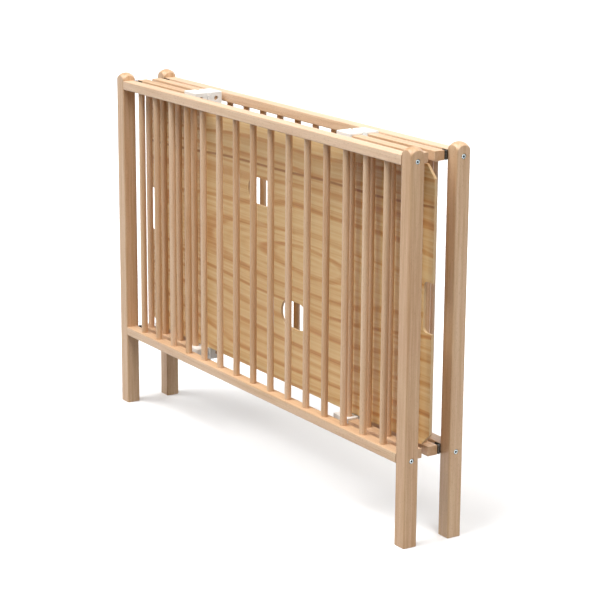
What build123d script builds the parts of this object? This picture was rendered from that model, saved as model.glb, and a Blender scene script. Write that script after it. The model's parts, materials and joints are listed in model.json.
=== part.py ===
"""A folding beech crib, stored flat.

Two long sides stand parallel. Each short end is two half panels, hinged to the posts and to each
other, and folded inwards between the long sides. The loose base board stands on edge between the
folded halves, on the barrels of the lower middle hinges.

The origin is on the floor, below the middle of the folded crib. X runs along the long sides, Y from
the front side to the rear side and Z up. Lengths are in millimetres.
"""

from build123d import *

import os

# Long sides
side_length = 1275.0
post_width = 35.0
post_rise = 19.0
post_edge_radius = 3.0
dome_radius = 25.5
foot_chamfer = 1.0
rail_height = 22.0
rail_depth = 31.0
rail_edge_radius = 2.0
bottom_rail_z = 186.0
bar_diameter = 16.0
side_bar_count = 15
socket_depth = 14.0

# Half panels of the short ends
half_rail_depth = 26.0
half_rail_edge_radius = 1.5
open_inner_width = 604.0
half_bar_count = 4
cap_bar_inset = 38.0
hinge_bar_inset = 32.0
rail_past_hinge = 1.0

# Gaps between the folded layers
hinge_gap = 8.0
middle_gap = 16.0

# White caps of the middle hinges
cap_length = 56.0
cap_wall = 3.0
cap_plate = 4.5
cap_end_wall = 5.0
cap_edge_radius = 1.2
cap_hole_diameter = 11.0
middle_knuckle_radius = 3.0
middle_knuckle_gap = 0.5
middle_lug_length = 6.0

# Butt hinges beside the posts, between the long rails and the half panels
leaf_length = 23.0
leaf_height = 20.0
leaf_thickness = 1.5
leaf_corner_radius = 3.0
leaf_knuckle_radius = 3.2
leaf_knuckle_gap = 0.4
leaf_clear_of_barrel = 0.6
leaf_screw_distances = (10.0, 17.0)
leaf_screw_rise = 4.5
screw_diameter = 3.0
screw_head_diameter = 5.6
screw_cone = 1.3
screw_length = 10.0
pin_diameter = 3.0

# Bolts, nuts and dowels that join the rails to the posts
bolt_diameter = 6.0
bolt_length = 60.0
bolt_head_diameter = 10.0
bolt_head_height = 6.0
bolt_head_chamfer = 0.6
bolt_sink = 0.6
hex_key_width = 5.0
hex_key_depth = 3.5
counterbore_diameter = 12.0
nut_diameter = 10.0
nut_length = 16.0
nut_inset = 22.0
nut_slot_width = 1.4
nut_slot_depth = 1.5
bolt_end_room = 2.0
dowel_diameter = 6.0
dowel_length = 24.0
dowel_inset = 7.5

# Base board
board_length = 1220.0
board_height = 617.0
board_thickness = 6.5
board_shift = 12.0
board_edge_chamfer = 0.8
board_corner_cut = 28.0
hand_hole_length = 110.0
hand_hole_height = 65.0
hand_hole_x = 74.0
hand_hole_z = 135.0
notch_height = 112.0
notch_depth = 30.0
notch_radius = 12.0

# Clearances
glue_gap = 0.1
running_gap = 0.1
cap_fit = 0.15
cap_bar_gap = 0.2
cap_end_gap = 0.1
seat_gap = 0.3
board_top_gap = 0.7
bolt_hole_gap = 0.3
screw_hole_gap = 0.05
cut_overshoot = 1.0

# Places of the long sides, as distances from the middle of the folded crib
fold_gap = 2 * (hinge_gap + half_rail_depth) + middle_gap
post_inner_y = fold_gap / 2
post_outer_y = post_inner_y + post_width
post_middle_y = post_inner_y + post_width / 2
post_outer_x = side_length / 2
post_inner_x = post_outer_x - post_width
post_middle_x = post_outer_x - post_width / 2
rail_middle_y = post_outer_y - rail_depth / 2
rail_inner_y = post_outer_y - rail_depth
side_bar_pitch = (2 * post_inner_x + bar_diameter) / (side_bar_count + 1)
dowel_y = post_outer_y - dowel_inset
nut_x = post_inner_x - nut_inset
bolt_head_x = post_outer_x - bolt_sink
bolt_tip_x = bolt_head_x - bolt_head_height - bolt_length

# Places of the half panels, and of the hinge axes that they turn on
hinge_x = post_middle_x - (hinge_gap + half_rail_depth) / 2
hinge_y = post_inner_y - hinge_gap / 2
reach = (open_inner_width - hinge_gap) / 2
middle_x = hinge_x - reach
half_rail_outer_y = post_inner_y - hinge_gap
half_rail_middle_y = half_rail_outer_y - half_rail_depth / 2
cap_end_x = middle_x + cap_end_gap
half_rail_x0 = cap_end_x + cap_end_wall + cap_fit
half_rail_x1 = hinge_x + rail_past_hinge
half_bar_pitch = (reach - cap_bar_inset - hinge_bar_inset) / (half_bar_count - 1)
half_bar_xs = [middle_x + cap_bar_inset + k * half_bar_pitch for k in range(half_bar_count)]

# Levels, up from the bottom rails: the board fits between the lower and the upper caps
board_bottom_z = bottom_rail_z + rail_height + cap_plate + seat_gap
board_middle_z = board_bottom_z + board_height / 2
top_rail_z = board_bottom_z + board_height + board_top_gap + cap_plate
rail_levels = (bottom_rail_z, top_rail_z)
post_height = top_rail_z + rail_height + post_rise
bar_bottom_z = bottom_rail_z + rail_height - socket_depth
bar_top_z = top_rail_z + socket_depth
bar_length = bar_top_z - bar_bottom_z

os.makedirs("parts", exist_ok=True)

upright = (Align.CENTER, Align.CENTER, Align.MIN)
sunk = (Align.CENTER, Align.CENTER, Align.MAX)
out_left = (-1, 0, 0)
out_right = (1, 0, 0)
out_front = (0, -1, 0)
out_rear = (0, 1, 0)


def save(builder, name):
    """Label a finished piece and write its file."""
    builder.part.label = name
    export_step(builder.part, f"parts/{name}.step")


def save_mirrored(builder, name, *planes):
    """Write the copy of a piece that its mirrors about the planes make, one after another."""
    shape = builder.part
    for plane in planes:
        shape = mirror(shape, about=plane, mode=Mode.PRIVATE)
    with BuildPart() as copy:
        add(shape)
    save(copy, name)


def facing(x, y, z, outwards):
    """Plane at a point of a face, with the face's outward direction and its own x axis level."""
    level_dir = (0, 1, 0) if outwards[0] else (1, 0, 0)
    return Plane(origin=(x, y, z), x_dir=level_dir, z_dir=outwards)


def knuckle_zones(height, gap):
    """Lower ends and common height of the three knuckles stacked in a hinge of the given height."""
    knuckle = (height - 2 * gap) / 3
    lows = {zone: k * (knuckle + gap) for k, zone in enumerate(("low", "middle", "high"))}
    return lows, knuckle


def rail_middles():
    """Heights of the bottom and the top rail's middle."""
    return [level + rail_height / 2 for level in rail_levels]


def leaf_screws_at(middle):
    """Distance from the hinge axis and height of each screw in a leaf at the height of middle."""
    rises = (leaf_screw_rise, -leaf_screw_rise)
    return [(distance, middle + rise) for distance, rise in zip(leaf_screw_distances, rises)]


# Everything is built at the front left, where X and Y are negative, and mirrored to the other places.

# Post: square, eased on its long edges, with a ball-nosed top
with BuildPart() as post:
    with BuildSketch():
        with Locations((-post_middle_x, -post_middle_y)):
            RectangleRounded(post_width, post_width, post_edge_radius)
    extrude(amount=post_height)
    chamfer(post.faces().sort_by(Axis.Z)[0].edges(), foot_chamfer)
    dome_centre_z = post_height - dome_radius
    with BuildSketch(facing(-post_middle_x, -post_middle_y, 0, out_front)):
        with BuildLine():
            CenterArc((0, dome_centre_z), dome_radius, 0, 90)
            Polyline((0, post_height), (0, post_height + cut_overshoot),
                     (post_width, post_height + cut_overshoot), (post_width, dome_centre_z),
                     (dome_radius, dome_centre_z))
        make_face()
    revolve(axis=Axis((-post_middle_x, -post_middle_y, 0), (0, 0, 1)), mode=Mode.SUBTRACT)
    with Locations([facing(-post_outer_x, -post_middle_y, z, out_left) for z in rail_middles()]):
        CounterBoreHole(bolt_diameter / 2 + bolt_hole_gap, counterbore_diameter / 2,
                        bolt_sink + bolt_head_height, post_width)
    with Locations([facing(-post_inner_x, -dowel_y, z, out_right) for z in rail_middles()]):
        Hole(dowel_diameter / 2 + glue_gap, dowel_length / 2)
save(post, "front_left_post")
save_mirrored(post, "front_right_post", Plane.YZ)
save_mirrored(post, "rear_left_post", Plane.XZ)
save_mirrored(post, "rear_right_post", Plane.YZ, Plane.XZ)


# Long rails, bored for the bars, the bolts with their barrel nuts, and the dowels
def make_long_rail(level, bar_face_z, bar_side):
    """Rail of a long side, with its underside at level and its bars on bar_side of bar_face_z."""
    middle = level + rail_height / 2
    with BuildPart() as rail:
        with BuildSketch(Plane.YZ.offset(-post_inner_x)):
            with Locations((-rail_middle_y, middle)):
                RectangleRounded(rail_depth, rail_height, rail_edge_radius)
        extrude(amount=2 * post_inner_x)
        with Locations(facing(0, -rail_middle_y, bar_face_z, (0, 0, bar_side))):
            with GridLocations(side_bar_pitch, 0, side_bar_count, 1):
                Hole(bar_diameter / 2 + glue_gap, socket_depth)
        ends = [(-post_inner_x, out_left), (post_inner_x, out_right)]
        with Locations([facing(x, -post_middle_y, middle, out) for x, out in ends]):
            Hole(bolt_diameter / 2 + bolt_hole_gap, post_inner_x - bolt_tip_x + bolt_end_room)
        with Locations([facing(x, -dowel_y, middle, out) for x, out in ends]):
            Hole(dowel_diameter / 2 + glue_gap, dowel_length / 2)
        with Locations([facing(x, -post_middle_y, level, (0, 0, -1)) for x in (-nut_x, nut_x)]):
            Hole(nut_diameter / 2 + glue_gap, (rail_height + nut_length) / 2)
        for side in (-1, 1):
            with Locations([facing(side * (hinge_x - d), -rail_inner_y, z, out_rear)
                            for d, z in leaf_screws_at(middle)]):
                Hole(screw_diameter / 2 + screw_hole_gap, screw_length)
    return rail


for rail_name, rail in (
    ("bottom_rail", make_long_rail(bottom_rail_z, bottom_rail_z + rail_height, 1)),
    ("top_rail", make_long_rail(top_rail_z, top_rail_z, -1)),
):
    save(rail, f"front_{rail_name}")
    save_mirrored(rail, f"rear_{rail_name}", Plane.XZ)

with BuildPart() as side_bars:
    with Locations((0, -rail_middle_y, bar_bottom_z)):
        with GridLocations(side_bar_pitch, 0, side_bar_count, 1):
            Cylinder(bar_diameter / 2, bar_length, align=upright)
save(side_bars, "front_bars")
save_mirrored(side_bars, "rear_bars", Plane.XZ)

# Socket-head bolts, sunk in the posts' outer faces
with BuildPart() as left_bolts:
    with Locations([facing(-bolt_head_x, -post_middle_y, z, out_left) for z in rail_middles()]):
        Cylinder(bolt_head_diameter / 2, bolt_head_height, align=sunk)
    chamfer(left_bolts.faces().sort_by(Axis.X)[0:2].edges(), bolt_head_chamfer)
    with Locations([facing(-bolt_head_x, -post_middle_y, z, out_left) for z in rail_middles()]):
        Cylinder(bolt_diameter / 2, bolt_head_height + bolt_length, align=sunk)
    with BuildSketch(*[facing(-bolt_head_x, -post_middle_y, z, out_left) for z in rail_middles()]):
        RegularPolygon(hex_key_width / 2, 6, major_radius=False)
    extrude(amount=-hex_key_depth, mode=Mode.SUBTRACT)
with BuildPart() as bolts:
    add(left_bolts.part)
    mirror(about=Plane.YZ)
save(bolts, "front_rail_bolts")
save_mirrored(bolts, "rear_rail_bolts", Plane.XZ)

# Barrel nuts, slotted so that a screwdriver can turn them in line
with BuildPart() as left_nuts:
    with Locations([(-nut_x, -post_middle_y, z - nut_length / 2) for z in rail_middles()]):
        Cylinder(nut_diameter / 2, nut_length, align=upright)
        Box(nut_diameter, nut_slot_width, nut_slot_depth, align=upright, mode=Mode.SUBTRACT)
    with Locations([facing(-nut_x, -post_middle_y, z, out_left) for z in rail_middles()]):
        Cylinder(bolt_diameter / 2 + running_gap, 2 * nut_diameter, mode=Mode.SUBTRACT)
with BuildPart() as nuts:
    add(left_nuts.part)
    mirror(about=Plane.YZ)
save(nuts, "front_barrel_nuts")
save_mirrored(nuts, "rear_barrel_nuts", Plane.XZ)

with BuildPart() as dowels:
    for x in (-post_inner_x, post_inner_x):
        with Locations([facing(x, -dowel_y, z, out_left) for z in rail_middles()]):
            Cylinder(dowel_diameter / 2, dowel_length)
save(dowels, "front_rail_dowels")
save_mirrored(dowels, "rear_rail_dowels", Plane.XZ)


# Butt hinges. The axis stands at (-hinge_x, -hinge_y), halfway between the post and the half panel.
def make_leaf(seat_y, plate_out, zones):
    """Both leaves of one kind, for the two rails, cranked from the barrel to their wooden face.

    seat_y is the place of that face, plate_out is the sign of Y that it looks to, and zones are the
    knuckles that the leaf carries.
    """
    lows, knuckle = knuckle_zones(leaf_height, leaf_knuckle_gap)
    near = leaf_knuckle_radius + leaf_clear_of_barrel
    width = leaf_length - near
    face_y = seat_y + plate_out * leaf_thickness
    with BuildPart() as leaf:
        for middle in rail_middles():
            low = middle - leaf_height / 2
            with BuildSketch(facing(-hinge_x + near + width / 2, seat_y, middle,
                                    (0, plate_out, 0))) as plate:
                Rectangle(width, leaf_height)
                fillet(plate.vertices().sort_by(Axis.X)[2:], leaf_corner_radius)
            extrude(amount=leaf_thickness)
            for zone in zones:
                with Locations((-hinge_x, -hinge_y, low + lows[zone])):
                    Cylinder(leaf_knuckle_radius, knuckle, align=upright)
                with Locations((-hinge_x + near - leaf_thickness / 2, (seat_y - hinge_y) / 2,
                                low + lows[zone])):
                    Box(leaf_thickness, abs(seat_y + hinge_y), knuckle, align=upright)
            with Locations((-hinge_x, -hinge_y, low)):
                Cylinder(pin_diameter / 2 + running_gap, leaf_height, align=upright, mode=Mode.SUBTRACT)
        places = [facing(-hinge_x + d, face_y, z, (0, plate_out, 0))
                  for middle in rail_middles() for d, z in leaf_screws_at(middle)]
        with Locations(places):
            CounterSinkHole(screw_diameter / 2 + screw_hole_gap,
                            screw_head_diameter / 2 + screw_hole_gap, leaf_thickness)
    with BuildPart() as screws:
        with Locations(places):
            Cone(screw_diameter / 2, screw_head_diameter / 2, screw_cone, align=sunk)
            Cylinder(screw_diameter / 2, screw_length, align=sunk)
    return leaf, screws


post_leaves, post_leaf_screws = make_leaf(-rail_inner_y, 1, ("low", "high"))
half_leaves, half_leaf_screws = make_leaf(-half_rail_outer_y, -1, ("middle",))

with BuildPart() as post_hinge_pins:
    with Locations([(-hinge_x, -hinge_y, z - leaf_height / 2) for z in rail_middles()]):
        Cylinder(pin_diameter / 2, leaf_height, align=upright)

for piece, piece_name in (
    (post_leaves, "post_hinge_leaves"),
    (post_leaf_screws, "post_hinge_screws"),
    (post_hinge_pins, "post_hinge_pins"),
):
    with BuildPart() as both_ends:
        add(piece.part)
        mirror(about=Plane.YZ)
    save(both_ends, f"front_{piece_name}")
    save_mirrored(both_ends, f"rear_{piece_name}", Plane.XZ)


# Half panels: two rails and four bars, with the hinge leaves on the rails' outer faces
def make_half_rail(level, bar_face_z, bar_side):
    """Rail of a half panel, with its underside at level and its bars on bar_side of bar_face_z."""
    with BuildPart() as rail:
        with BuildSketch(Plane.YZ.offset(-half_rail_x1)):
            with Locations((-half_rail_middle_y, level + rail_height / 2)):
                RectangleRounded(half_rail_depth, rail_height, half_rail_edge_radius)
        extrude(amount=half_rail_x1 - half_rail_x0)
        with Locations([facing(-x, -half_rail_middle_y, bar_face_z, (0, 0, bar_side)) for x in half_bar_xs]):
            Hole(bar_diameter / 2 + glue_gap, socket_depth)
        with Locations([facing(-hinge_x + d, -half_rail_outer_y, z, out_front)
                        for d, z in leaf_screws_at(level + rail_height / 2)]):
            Hole(screw_diameter / 2 + screw_hole_gap, screw_length)
    return rail


half_bottom_rail = make_half_rail(bottom_rail_z, bottom_rail_z + rail_height, 1)
half_top_rail = make_half_rail(top_rail_z, top_rail_z, -1)

with BuildPart() as half_bars:
    with Locations([(-x, -half_rail_middle_y, bar_bottom_z) for x in half_bar_xs]):
        Cylinder(bar_diameter / 2, bar_length, align=upright)


# Caps: moulded sleeves over the rails' free ends, pinned by the last bar, with the hinge knuckles
def make_cap(level, bar_side, zones):
    """Cap of a front half panel's rail, with its bars on bar_side and the knuckles of the given zones."""
    height = rail_height + 2 * cap_plate
    low = level - cap_plate
    middle = level + rail_height / 2
    lows, knuckle = knuckle_zones(height, middle_knuckle_gap)
    with BuildPart() as cap:
        with BuildSketch(Plane.YZ.offset(-cap_end_x - cap_length)):
            with Locations((-half_rail_middle_y, middle)):
                Rectangle(half_rail_depth + 2 * cap_wall, height)
        extrude(amount=cap_length)
        fillet(cap.edges(), cap_edge_radius)
        with BuildSketch(Plane.YZ.offset(-cap_end_x - cap_length)):
            with Locations((-half_rail_middle_y, middle)):
                Rectangle(half_rail_depth + 2 * cap_fit, rail_height + 2 * cap_fit)
        extrude(amount=cap_length - cap_end_wall, mode=Mode.SUBTRACT)
        with Locations(facing(-half_bar_xs[0], -half_rail_middle_y, middle, (0, 0, bar_side))):
            Cylinder(bar_diameter / 2 + cap_bar_gap, height, align=upright, mode=Mode.SUBTRACT)
        with Locations(facing(-cap_end_x, -half_rail_middle_y, middle, out_right)):
            Hole(cap_hole_diameter / 2, cap_end_wall)
        for zone in zones:
            with BuildSketch(Plane.XY.offset(low + lows[zone])):
                with Locations((-middle_x, 0)):
                    Circle(middle_knuckle_radius)
                    Rectangle(middle_lug_length, (middle_gap - cap_wall) / 2, align=(Align.MAX, Align.MAX))
            extrude(amount=knuckle)
        with Locations((-middle_x, 0, low)):
            Cylinder(pin_diameter / 2 + running_gap, height, align=upright, mode=Mode.SUBTRACT)
    return cap


half_pieces = {
    "bottom_rail": half_bottom_rail,
    "top_rail": half_top_rail,
    "bars": half_bars,
    "hinge_leaves": half_leaves,
    "hinge_screws": half_leaf_screws,
}
for half, zones, planes in (("front", ("low", "high"), ()), ("rear", ("middle",), (Plane.XZ,))):
    pieces = dict(half_pieces)
    pieces["bottom_cap"] = make_cap(bottom_rail_z, 1, zones)
    pieces["top_cap"] = make_cap(top_rail_z, -1, zones)
    for piece_name, piece in pieces.items():
        save_mirrored(piece, f"left_end_{half}_{piece_name}", *planes)
        save_mirrored(piece, f"right_end_{half}_{piece_name}", Plane.YZ, *planes)

with BuildPart() as middle_pins:
    with Locations([(-middle_x, 0, level - cap_plate) for level in rail_levels]):
        Cylinder(pin_diameter / 2, rail_height + 2 * cap_plate, align=upright)
save(middle_pins, "left_end_middle_pins")
save_mirrored(middle_pins, "right_end_middle_pins", Plane.YZ)

# Base board, with staggered hand-holes, a grip notch in each short edge and cut corners
with BuildPart() as base_board:
    with BuildSketch(Plane.XZ.offset(-board_thickness / 2)) as board_outline:
        with Locations((board_shift, board_middle_z)):
            Rectangle(board_length, board_height)
            chamfer(board_outline.vertices(), board_corner_cut)
            with Locations((-board_length / 2, 0), (board_length / 2, 0)):
                RectangleRounded(2 * notch_depth, notch_height, notch_radius, mode=Mode.SUBTRACT)
            with Locations((-hand_hole_x, hand_hole_z), (hand_hole_x, -hand_hole_z)):
                SlotOverall(hand_hole_length, hand_hole_height, mode=Mode.SUBTRACT)
    extrude(amount=board_thickness)
    faces_along_y = base_board.faces().filter_by(Axis.Y)
    chamfer(faces_along_y.edges(), board_edge_chamfer)
save(base_board, "base_board")
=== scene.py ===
"""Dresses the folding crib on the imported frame: planed and turned beech, a base board with a printed
wood-grain foil, white moulded caps and zinc-plated fittings, in a plain pale studio.

Shapes are worked out in millimetres, in the part's own frame (X along the long sides, Y from the front
side to the rear side, Z up), and put into Blender in metres.
"""

import json
import logging
import math
from collections.abc import Sequence
from dataclasses import dataclass
from enum import Enum

import bmesh
import bpy
import numpy as np
from mathutils import Matrix, Vector
from mathutils.geometry import delaunay_2d_cdt

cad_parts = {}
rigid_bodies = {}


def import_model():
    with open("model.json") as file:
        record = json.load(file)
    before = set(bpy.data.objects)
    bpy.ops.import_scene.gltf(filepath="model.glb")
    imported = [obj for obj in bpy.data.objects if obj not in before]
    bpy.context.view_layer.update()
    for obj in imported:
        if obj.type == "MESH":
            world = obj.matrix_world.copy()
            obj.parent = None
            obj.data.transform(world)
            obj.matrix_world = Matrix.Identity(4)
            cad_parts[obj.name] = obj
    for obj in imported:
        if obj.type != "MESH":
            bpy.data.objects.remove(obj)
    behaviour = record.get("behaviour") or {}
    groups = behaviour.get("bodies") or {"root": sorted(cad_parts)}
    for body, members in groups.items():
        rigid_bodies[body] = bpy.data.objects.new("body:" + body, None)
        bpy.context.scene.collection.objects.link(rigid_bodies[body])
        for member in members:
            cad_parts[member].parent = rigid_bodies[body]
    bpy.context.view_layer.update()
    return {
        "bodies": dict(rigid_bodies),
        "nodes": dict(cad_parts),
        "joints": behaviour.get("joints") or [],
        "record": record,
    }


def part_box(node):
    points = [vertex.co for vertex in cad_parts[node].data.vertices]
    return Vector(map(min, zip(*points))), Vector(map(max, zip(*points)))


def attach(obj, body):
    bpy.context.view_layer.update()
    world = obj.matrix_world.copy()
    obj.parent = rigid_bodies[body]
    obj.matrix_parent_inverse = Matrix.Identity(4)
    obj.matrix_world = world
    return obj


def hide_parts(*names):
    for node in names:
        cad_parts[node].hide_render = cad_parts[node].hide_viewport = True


Array = np.ndarray
METRES = 0.001
# Points nearer to each other than this, in metres, become one.
MERGE_GAP = 1e-6
# Faces that meet at more than this angle, in degrees, meet in a sharp edge.
CREASE = 34.0
# Steps in each corner and each flat of a rounded outline, and along each side of a hole's block.
ARC_STEPS = 4
FLAT_STEPS = 8
HOLE_STEPS = 8
BAR_DIAMETER = 16.0

log = logging.getLogger("crib")


class Grain(Enum):
    """The axis that a piece's grain runs along."""

    ALONG_X = 0
    ALONG_Z = 2


class End(Enum):
    """A short end of the crib, with the sign of its X."""

    LEFT = -1
    RIGHT = 1


class Half(Enum):
    """The front or rear one of a pair, with the sign of its Y."""

    FRONT = -1
    REAR = 1


def linear(colour: str) -> tuple[float, float, float, float]:
    """Turns an sRGB hex colour into linear values.

    Args:
        colour: Six hex digits after a hash.

    Returns:
        Red, green, blue and an alpha of 1.
    """
    parts = np.array([int(colour[k : k + 2], 16) for k in (1, 3, 5)]) / 255
    values = np.where(parts <= 0.04045, parts / 12.92, ((parts + 0.055) / 1.055) ** 2.4)
    return (*values.tolist(), 1.0)


def rate(length: float) -> float:
    """Pattern scale, per metre, at which one unit of a noise is this many millimetres long."""
    return 1 / (length * METRES)


def add(
    material: bpy.types.Material | bpy.types.World,
    kind: str,
    inputs: dict[str | int, object] | None = None,
    stops: Sequence[tuple[float, str]] = (),
    **settings: object,
) -> bpy.types.Node:
    """Adds a node to a material or to the world.

    Args:
        material: The material or world that gets the node.
        kind: The node's type name, without its ShaderNode.
        inputs: For the node's inputs, by name or number, an output to link or a value to set.
        stops: The places and hex colours of a colour ramp.
        settings: The node's own properties.

    Returns:
        The new node.
    """
    tree = material.node_tree
    made = tree.nodes.new("ShaderNode" + kind)
    for key, value in settings.items():
        setattr(made, key, value)
    for key, value in (inputs or {}).items():
        if isinstance(value, bpy.types.NodeSocket):
            tree.links.new(value, made.inputs[key])
        else:
            made.inputs[key].default_value = value
    for k, (place, colour) in enumerate(stops):
        elements = made.color_ramp.elements
        element = elements[k] if k < len(elements) else elements.new(place)
        element.position = place
        element.color = linear(colour)
    return made


def new_material(name: str, shader: dict[str, object]) -> tuple[bpy.types.Material, bpy.types.Node]:
    """Makes a material with one principled shader.

    Args:
        name: The material's name.
        shader: Constant values for the shader's sockets.

    Returns:
        The material and its shader node.
    """
    material = bpy.data.materials.new(name)
    material.use_nodes = True
    material.node_tree.nodes.clear()
    principled = add(material, "BsdfPrincipled", shader)
    add(material, "OutputMaterial", {"Surface": principled.outputs["BSDF"]})
    return material, principled


def feed(
    material: bpy.types.Material | bpy.types.World,
    shader: bpy.types.Node,
    sources: dict[str, bpy.types.NodeSocket],
) -> None:
    """Links outputs to a shader's inputs.

    Args:
        material: The material or world that holds both.
        shader: The shader node.
        sources: The output for each input's name.
    """
    for name, source in sources.items():
        material.node_tree.links.new(source, shader.inputs[name])


def stretched_noise(
    material: bpy.types.Material,
    place: bpy.types.NodeSocket,
    lengths: Sequence[float],
    detail: float,
    roughness: float,
) -> bpy.types.NodeSocket:
    """Adds a noise with its own length along each axis.

    Args:
        material: The material that gets it.
        place: The coordinates that it is read at.
        lengths: Length of one unit of the noise along X, Y and Z, in millimetres.
        detail: How many finer layers it has.
        roughness: How strong those are.

    Returns:
        The noise's output.
    """
    mapped = add(material, "Mapping", {"Vector": place, "Scale": [rate(length) for length in lengths]})
    made = add(material, "TexNoise", {"Vector": mapped.outputs["Vector"], "Scale": 1.0,
                                      "Detail": detail, "Roughness": roughness})
    return made.outputs["Fac"]


def weighted_sum(
    material: bpy.types.Material, terms: Sequence[tuple[bpy.types.NodeSocket, float]], start: float
) -> bpy.types.NodeSocket:
    """Adds outputs, each times its share, to a start.

    Args:
        material: The material that holds them.
        terms: Each output with its share.
        start: The start.

    Returns:
        The sum's output.
    """
    value: float | bpy.types.NodeSocket = start
    for source, share in terms:
        step = add(material, "Math", {0: source, 1: share, 2: value}, operation="MULTIPLY_ADD")
        value = step.outputs[0]
    return value


def absolute_part(
    material: bpy.types.Material, vector: bpy.types.NodeSocket, axis: int
) -> bpy.types.NodeSocket:
    """Absolute value of one part of a vector: 0 for X, 1 for Y, 2 for Z."""
    parts = add(material, "SeparateXYZ", {"Vector": vector})
    return add(material, "Math", {0: parts.outputs[axis]}, operation="ABSOLUTE").outputs[0]


def drawn_towards(
    material: bpy.types.Material,
    colour: bpy.types.NodeSocket | tuple[float, float, float, float],
    target: str,
    mask: bpy.types.NodeSocket,
    span: tuple[float, float] = (0.0, 1.0),
    share: float = 1.0,
) -> bpy.types.NodeSocket:
    """Draws a colour towards another where a mask says so.

    Args:
        material: The material that holds them.
        colour: The colour.
        target: The hex colour that it is drawn towards.
        mask: The mask.
        span: The mask's values at which that begins and is full.
        share: How far it goes, from 0 to 1.

    Returns:
        The new colour.
    """
    amount = add(material, "MapRange", {"Value": mask, "From Min": span[0], "From Max": span[1],
                                        "To Max": share})
    mixed = add(material, "Mix", {"Factor": amount.outputs["Result"], 6: colour, 7: linear(target)},
                data_type="RGBA")
    return mixed.outputs[2]


def in_scene(name: str, data: bpy.types.ID) -> bpy.types.Object:
    """Makes an object of a mesh, a light or a camera, and links it to the scene.

    Args:
        name: The object's name.
        data: What it shows.

    Returns:
        The new object.
    """
    made = bpy.data.objects.new(name, data)
    bpy.context.scene.collection.objects.link(made)
    return made


@dataclass(frozen=True)
class BeechFinish:
    """Steamed beech, planed and sanded, under a clear satin varnish.

    Beech is an even, pinkish tan wood. What gives it away is a fine straight grain, short darker ray
    flecks a few millimetres long, and a slight change of tone from one stick to the next.

    Attributes:
        grain: The axis of the grain.
        pale: The palest wood.
        middle: The common tone.
        deep: The darkest growth bands.
        fleck: The ray flecks.
        pink: The wash over the redder patches.
        yellow: The wash over the yellower patches.
        end_grain: The wood where the grain ends.
        edge_varnish_and_shade: The darker wood on rounded edges: pooled varnish, plus painted shade along the
            edges.
        band_width: Width of the growth bands across the grain, in millimetres.
        fibre_width: Width of the fibres, in millimetres.
        fleck_length: Length of a ray fleck along the grain, in millimetres.
        tone_shift: How far one unit of tone moves the pattern, in metres.
    """

    grain: Grain
    pale: str = "#e8d0b6"
    middle: str = "#d9bb9a"
    deep: str = "#c29c74"
    fleck: str = "#a67f58"
    pink: str = "#f7e0d6"
    yellow: str = "#fff8e6"
    end_grain: str = "#a87a4e"
    edge_varnish_and_shade: str = "#a8845e"
    band_width: float = 7.0
    fibre_width: float = 1.4
    fleck_length: float = 5.0
    tone_shift: tuple[float, float, float] = (0.31, 0.17, 0.23)

    def lengths(self, across: float, along: float) -> list[float]:
        """Lengths of a pattern along X, Y and Z, from those across the grain and along it."""
        return [along if axis == self.grain.value else across for axis in range(3)]

    def material(self) -> bpy.types.Material:
        """Builds the material: growth bands, fibres and ray flecks that all run with the grain.

        Returns:
            The material.
        """
        name = "beech_satin_varnish_" + self.grain.name.lower()
        made, shader = new_material(name, {"Coat Weight": 0.3, "Coat Roughness": 0.28, "IOR": 1.5})
        place = add(made, "TexCoord")
        tone = add(made, "Attribute", attribute_name="tone")
        edge = add(made, "Attribute", attribute_name="edge")
        # Each stick is sawn from another part of the log, so its tone also moves the pattern.
        shift = add(made, "VectorMath", {0: tone.outputs["Vector"], 1: self.tone_shift},
                    operation="MULTIPLY")
        moved = add(made, "VectorMath", {0: place.outputs["Object"], 1: shift.outputs["Vector"]})

        def noise(across: float, along: float, detail: float, roughness: float) -> bpy.types.NodeSocket:
            """Noise stretched along the grain."""
            lengths = self.lengths(across, along)
            return stretched_noise(made, moved.outputs["Vector"], lengths, detail, roughness)

        bands = noise(self.band_width, 260.0, 3.0, 0.55)
        fibres = noise(self.fibre_width, 55.0, 2.0, 0.6)
        mottle = noise(34.0, 120.0, 2.0, 0.5)
        rays = noise(1.1, self.fleck_length, 1.0, 0.4)
        mixed = weighted_sum(made, ((bands, 0.46), (fibres, 0.26), (tone.outputs["Fac"], 0.13)), 0.14)
        wood = add(made, "ValToRGB", {"Fac": mixed},
                   stops=((0.32, self.deep), (0.5, self.middle), (0.68, self.pale)))
        warm = add(made, "Mix", {"Factor": mottle, 6: linear(self.pink), 7: linear(self.yellow)},
                   data_type="RGBA")
        washed = add(made, "Mix", {"Factor": 0.6, 6: wood.outputs["Color"], 7: warm.outputs[2]},
                     data_type="RGBA", blend_type="MULTIPLY")
        flecked = drawn_towards(made, washed.outputs[2], self.fleck, rays, (0.60, 0.72), 0.42)
        # End grain drinks the varnish and is browner.
        lengthwise = absolute_part(made, place.outputs["Normal"], self.grain.value)
        ended = drawn_towards(made, flecked, self.end_grain, lengthwise, (0.75, 0.98), 0.42)
        # Rounded edges are drawn darker: partly pooled varnish, partly painted shade along the edges.
        edge_shaded = drawn_towards(made, ended, self.edge_varnish_and_shade, edge.outputs["Fac"], share=0.3)
        gloss = add(made, "MapRange", {"Value": fibres, "To Min": 0.36, "To Max": 0.56})
        relief = add(made, "Bump", {"Height": fibres, "Strength": 0.25, "Distance": 0.0003})
        feed(made, shader, {"Base Color": edge_shaded, "Roughness": gloss.outputs["Result"],
                            "Normal": relief.outputs["Normal"]})
        return made


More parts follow.
